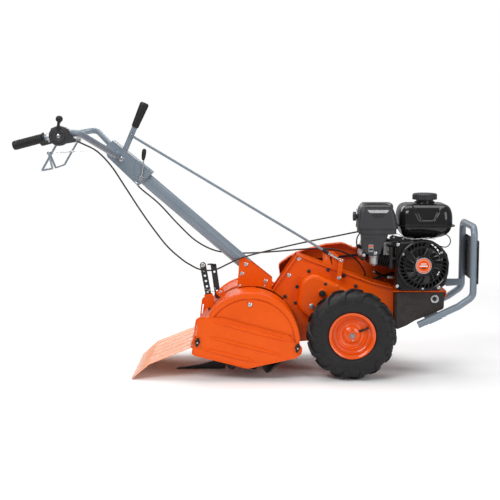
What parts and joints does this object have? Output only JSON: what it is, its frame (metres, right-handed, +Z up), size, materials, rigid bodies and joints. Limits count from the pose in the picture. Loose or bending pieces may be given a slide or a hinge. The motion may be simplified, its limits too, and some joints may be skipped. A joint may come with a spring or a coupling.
{
  "type": "rear-tine tiller",
  "caption": "Walk-behind rear-tine tiller with a petrol engine in front, driven wheels, a tine hood with a hinged flap and depth stake, and a column with adjustable handlebars.",
  "frame": {"origin": "on the ground, under the middle of the length and width", "axes": "+X forwards to the bumper, +Y to the operator's left, +Z up"},
  "size_m": [1.7202, 0.5829, 1.0324],
  "materials": {
    "orange_paint": "gloss powder coat",
    "grey_paint": "satin powder coat",
    "black_paint": "satin paint",
    "black_steel": "painted forging",
    "zinc": "bright zinc plate",
    "steel": "machined",
    "cast_aluminium": "sand cast",
    "black_casting": "black painted casting",
    "counterweight": "rough painted casting",
    "black_gloss": "gloss black",
    "charcoal_plastic": "fine textured",
    "grip_rubber": "moulded",
    "belt_rubber": "cloth backed",
    "cable_jacket": "smooth",
    "tyre": "moulded"
  },
  "bodies": {
    "chassis": {"gearbox_case": "orange_paint", "gearbox_cover_right": "orange_paint", "gearbox_cover_left": "orange_paint", "gearbox_bolts": "black_paint", "frame_plates": "orange_paint", "engine_plate": "orange_paint", "counterweight": "counterweight", "bumper_tube": "grey_paint", "bumper_plate": "black_paint", "belt_cover": "orange_paint", "drive_belt": "belt_rubber", "hood": "orange_paint", "side_shields": "orange_paint", "wing_knobs": "charcoal_plastic", "stake_bracket": "orange_paint", "column": "grey_paint", "column_base": "orange_paint", "bolts": "zinc", "selector_bracket": "orange_paint", "throttle_cable": "cable_jacket", "clutch_cable": "cable_jacket", "crankcase": "black_casting", "cylinder": "black_casting", "valve_cover": "cast_aluminium", "blower_housing": "black_gloss", "recoil_cover": "black_gloss", "air_cleaner_base": "charcoal_plastic", "air_cleaner_cover": "charcoal_plastic", "carburettor": "cast_aluminium", "fuel_tank": "black_gloss", "muffler": "black_casting", "spark_plug": "cast_aluminium"},
    "idler_arm": {"idler_arm": "zinc"},
    "rear_flap": {"rear_flap": "orange_paint"},
    "depth_stake": {"depth_stake": "black_paint"},
    "selector_arm": {"selector_arm": "orange_paint"},
    "gear_lever": {"gear_lever": "grey_paint"},
    "shift_rod": {"shift_rod": "grey_paint"},
    "handlebar": {"handle_channel": "grey_paint", "handle_tubes": "grey_paint", "grips": "grip_rubber", "throttle_housing": "charcoal_plastic"},
    "throttle_lever": {"throttle_lever": "charcoal_plastic"},
    "bail": {"bail": "grey_paint"},
    "pull_rod": {"pull_rod": "zinc"},
    "lock_lever": {"lock_lever": "zinc"},
    "recoil_handle": {"recoil_handle": "charcoal_plastic"},
    "filter_knob": {"filter_knob": "charcoal_plastic"},
    "choke_lever": {"choke_lever": "charcoal_plastic"},
    "fuel_cap": {"fuel_cap": "black_gloss"},
    "crankshaft": {"crankshaft": "steel"},
    "input_shaft": {"input_shaft": "steel"},
    "wheels": {"axle": "steel", "rim_right": "orange_paint", "rim_left": "orange_paint", "tyre_right": "tyre", "tyre_left": "tyre"},
    "tines": {"tine_shaft": "steel", "tines_right": "black_steel", "tines_left": "black_steel"}
  },
  "joints": [
    {"name": "wheel_spin", "type": "hinge", "parent": "chassis", "child": "wheels", "pos_m": [0.378, 0, 0.169], "axis": [0, 1, 0], "continuous": true},
    {"name": "tine_spin", "type": "hinge", "parent": "chassis", "child": "tines", "pos_m": [0, 0, 0.142], "axis": [0, 1, 0], "continuous": true},
    {"name": "crank_spin", "type": "hinge", "parent": "chassis", "child": "crankshaft", "pos_m": [0.647, 0, 0.422], "axis": [0, 1, 0], "continuous": true},
    {"name": "input_spin", "type": "hinge", "parent": "chassis", "child": "input_shaft", "pos_m": [0.24, 0, 0.338], "axis": [0, 1, 0], "continuous": true},
    {"name": "flap_hinge", "type": "hinge", "parent": "chassis", "child": "rear_flap", "pos_m": [-0.215, 0, 0.133], "axis": [0, 1, 0], "range_deg": [0, 60]},
    {"name": "stake_slide", "type": "slide", "parent": "chassis", "child": "depth_stake", "axis": [-0.1788, 0, 0.9839], "range_m": [0, 0.063]},
    {"name": "handle_height", "type": "hinge", "parent": "chassis", "child": "handlebar", "pos_m": [-0.494, 0, 0.815], "axis": [0, 1, 0], "range_deg": [-4, 4]},
    {"name": "gear_lever_pivot", "type": "hinge", "parent": "chassis", "child": "gear_lever", "pos_m": [-0.494, -0.028, 0.815], "axis": [0, 1, 0], "range_deg": [-9, 9]},
    {"name": "shift_rod_pivot", "type": "hinge", "parent": "gear_lever", "child": "shift_rod", "pos_m": [-0.452, -0.037, 0.903], "axis": [0, 1, 0], "range_deg": [-10, 10]},
    {"name": "selector_pivot", "type": "hinge", "parent": "chassis", "child": "selector_arm", "pos_m": [0.337, -0.068, 0.364], "axis": [0, 1, 0], "range_deg": [-16, 16]},
    {"name": "throttle_pivot", "type": "hinge", "parent": "handlebar", "child": "throttle_lever", "pos_m": [-0.688, -0.288, 0.907], "axis": [0, 1, 0], "range_deg": [-35, 35]},
    {"name": "bail_pivot", "type": "hinge", "parent": "handlebar", "child": "bail", "pos_m": [-0.7, 0, 0.88], "axis": [0, 1, 0], "range_deg": [0, 45], "stiffness_Nm_per_rad": 1.2, "springref_deg": -45.84},
    {"name": "pull_rod_pivot", "type": "hinge", "parent": "bail", "child": "pull_rod", "pos_m": [-0.775, 0, 0.836], "axis": [0, 1, 0], "range_deg": [-31, 1]},
    {"name": "idler_pivot", "type": "hinge", "parent": "chassis", "child": "idler_arm", "pos_m": [0.502, 0.08, 0.286], "axis": [0, 1, 0], "range_deg": [0, 9]},
    {"name": "lock_pivot", "type": "hinge", "parent": "handlebar", "child": "lock_lever", "pos_m": [-0.41818, -0.038, 0.74211], "axis": [0, 1, 0], "range_deg": [-20, 20]},
    {"name": "recoil_pull", "type": "slide", "parent": "chassis", "child": "recoil_handle", "axis": [-0.5011, -0.8419, 0.2004], "range_m": [0, 0.45], "stiffness_N_per_m": 12, "springref_m": -0.3},
    {"name": "filter_knob_turn", "type": "hinge", "parent": "chassis", "child": "filter_knob", "pos_m": [0.398, -0.074, 0.6], "axis": [1, 0, 0], "continuous": true},
    {"name": "choke_pivot", "type": "hinge", "parent": "chassis", "child": "choke_lever", "pos_m": [0.518, -0.078, 0.49], "axis": [0, 1, 0], "range_deg": [-12, 25]},
    {"name": "fuel_cap_turn", "type": "hinge", "parent": "chassis", "child": "fuel_cap", "pos_m": [0.67, 0, 0.658], "axis": [0, 0, 1], "range_deg": [0, 90]}
  ],
  "couplings": [
    {"joint": "input_spin", "follows": "crank_spin", "ratio": 0.5},
    {"joint": "shift_rod_pivot", "follows": "gear_lever_pivot", "ratio": -1.036},
    {"joint": "selector_pivot", "follows": "gear_lever_pivot", "ratio": 1.618},
    {"joint": "pull_rod_pivot", "follows": "bail_pivot", "ratio": -0.667},
    {"joint": "idler_pivot", "follows": "bail_pivot", "ratio": 0.18}
  ]
}
